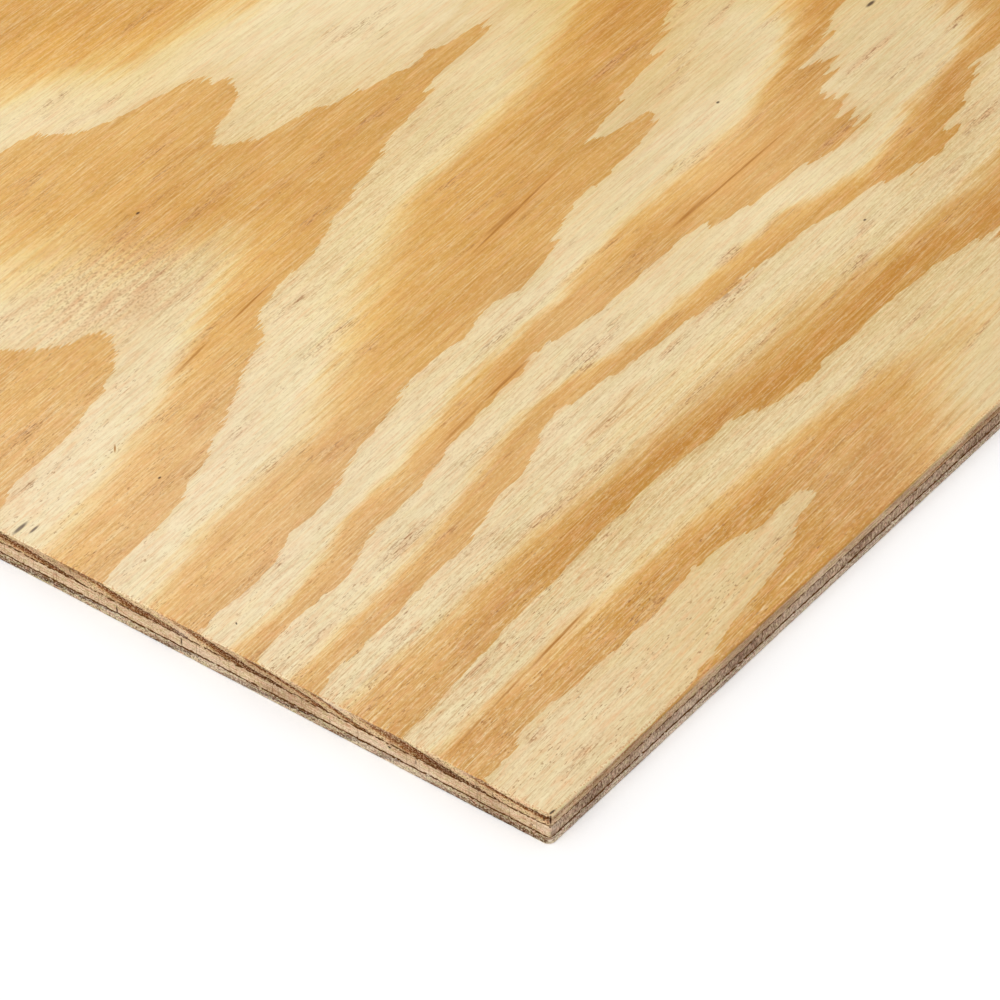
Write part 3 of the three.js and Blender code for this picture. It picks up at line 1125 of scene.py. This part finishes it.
def core_material():
    """The core's grain runs across the sheet, so its sides are end grain and its ends are not."""
    g = Graph(bpy.data.materials.new("pine_core"))
    wall = wall_place(g)
    threads = g.noise(wall, (9, 0.3), 1, 3, 0.6)
    end = g.mix(g.between(threads, 0.35, 0.65), (238, 210, 174), (198, 163, 122))
    end = speckled(g, wall, end, (150, 108, 68), (252, 230, 198), 0.55)[0]
    checks = g.noise(wall, (0.5, 9), 5, 1)
    end = g.painted(end, ((116, 78, 46), checks, 0.64, 0.74, 0.55))
    hatch = g.noise(wall, (0.7, 2.2), 2, 4, 0.75)
    side = g.mix(g.between(hatch, 0.36, 0.64), (210, 182, 154), (134, 104, 82))
    clouds = g.noise(wall, (9, 4), 3)
    side = g.painted(side, ((120, 88, 66), clouds, 0.45, 0.65, 0.5),
                     ((214, 186, 156), clouds, 0.45, 0.3, 0.4))
    upright = g.scaled(wall, (0.7, 2.2), 0)
    side, bumps = speckled(g, upright, side, (84, 56, 36), (232, 206, 178), 0.7)
    return finish_edge(g, wall, side, end, g.add(bumps, hatch), tint=0.42, clouds=0.6,
                       shaded_holes=CORE_HOLE_SHADE, glue_lines=[UPPER_LINE, LOWER_LINE], relief=0.1)


def back_edge_material():
    g = Graph(bpy.data.materials.new("pine_back_edge"))
    wall = wall_place(g)
    year = frayed_year(g, wall, (1.5, 0.5), 0.25)
    end = g.ramp(year, [(0, (214, 190, 154)), (0.5, (206, 180, 142)), (0.62, (156, 118, 82)),
                        (0.9, (100, 66, 38)), (1, (80, 48, 26))])
    end, bumps = speckled(g, wall, end, (80, 54, 34), (240, 226, 200), 0.9)
    threads = g.noise(wall, (14, 0.3), 4, 3, 0.6)
    side = g.mix(g.between(threads, 0.38, 0.62), (234, 211, 184), (148, 120, 98))
    side = speckled(g, wall, side, (110, 84, 66), (248, 236, 216), 0.85)[0]
    return finish_edge(g, wall, side, end, bumps, tint=0.6, clouds=0.5, glue_lines=[LOWER_LINE])


def back_material():
    g = Graph(bpy.data.materials.new("pine_back"))
    grain = g.pair(*g.place()[:2])
    year = frayed_year(g, grain, (12, 1.2), 0.12)
    colour = shade_of_year(g, year, 0.6)
    colour, height = add_fibres(g, grain, colour, latewood(g, year), 1)
    return g.finish(colour, height, roughness=0.7, relief=0.1)


# ---- Pieces ----


def place_piece(piece, node, materials):
    for material in materials:
        piece.data.materials.append(material)
    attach(piece, "root")
    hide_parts(node)


place_piece(face_piece(), "face_veneer", [pine_face_material(), face_edge_material()])
place_piece(core_piece(), "core_veneer", [core_material()])
place_piece(back_piece(), "back_veneer", [back_material(), back_edge_material()])

# ---- Camera ----

CAMERA_PLACE = Vector((-607.24, -445.88, 715.91)) * MM  # from the near corner of the face
CAMERA_AZIMUTH = math.radians(217.0774)  # where it stands, as seen from what it looks at
CAMERA_ELEVATION = math.radians(39.9668)
CAMERA_LENS, CAMERA_SENSOR = 182.39, 36.0


def add_camera():
    data = bpy.data.cameras.new("camera")
    data.lens, data.sensor_width = CAMERA_LENS, CAMERA_SENSOR
    camera = add_object("camera", data)
    right = math.pi / 2
    turn = Euler((right - CAMERA_ELEVATION, 0.0, CAMERA_AZIMUTH + right)).to_matrix().to_4x4()
    corner = NEAR_CORNER + Vector((0.0, 0.0, TOP * MM))
    camera.matrix_world = Matrix.Translation(corner + CAMERA_PLACE) @ turn
    bpy.context.scene.camera = camera


# ---- Floor and light ----

FLOOR_REACH = 60.0
FLOOR_COLOUR = (0.93, 0.93, 0.93, 1.0)
FLOOR_GLOW = 0.12
WHITE = (1.0, 1.0, 1.0, 1.0)
AMBIENT = 0.62
SUN_POWER = 1.45
SUN_SIZE = math.radians(50)
TOWARDS_SUN = Vector((-0.5, -0.1, 0.8))


def seen_directly(g):
    """1 for the rays of the camera, of reflections and of glass, which see the plain background."""
    path = g.node("LightPath").outputs
    seen = g.math("MAXIMUM", path["Is Camera Ray"], path["Is Glossy Ray"])
    return g.math("MAXIMUM", seen, path["Is Transmission Ray"])


def add_floor():
    r = FLOOR_REACH
    mesh = bpy.data.meshes.new("floor")
    mesh.from_pydata([(-r, -r, 0), (r, -r, 0), (r, r, 0), (-r, r, 0)], [], [(0, 1, 2, 3)])
    floor = add_object("floor", mesh)
    g = Graph(bpy.data.materials.new("floor"))
    diffuse = g.node("BsdfDiffuse", {"Color": FLOOR_COLOUR})
    glow = g.node("Emission", {"Strength": g.times(seen_directly(g), FLOOR_GLOW)})
    both = g.node("AddShader", {0: diffuse.outputs[0], 1: glow.outputs[0]})
    g.end("OutputMaterial", both)
    mesh.materials.append(g.owner)


def add_world():
    world = bpy.data.worlds.new("studio")
    bpy.context.scene.world = world
    g = Graph(world)
    shades = [g.node("Background", {"Color": WHITE, "Strength": strength}).outputs[0]
              for strength in (AMBIENT, 1)]
    g.end("OutputWorld", g.node("MixShader", enumerate([seen_directly(g), *shades])))


def add_sun():
    data = bpy.data.lights.new("sun", "SUN")
    data.energy = SUN_POWER
    data.angle = SUN_SIZE
    sun = add_object("sun", data)
    sun.rotation_euler = TOWARDS_SUN.to_track_quat("Z", "Y").to_euler()


add_camera()
add_floor()
add_world()
add_sun()
bpy.context.scene.view_settings.view_transform = "Standard"
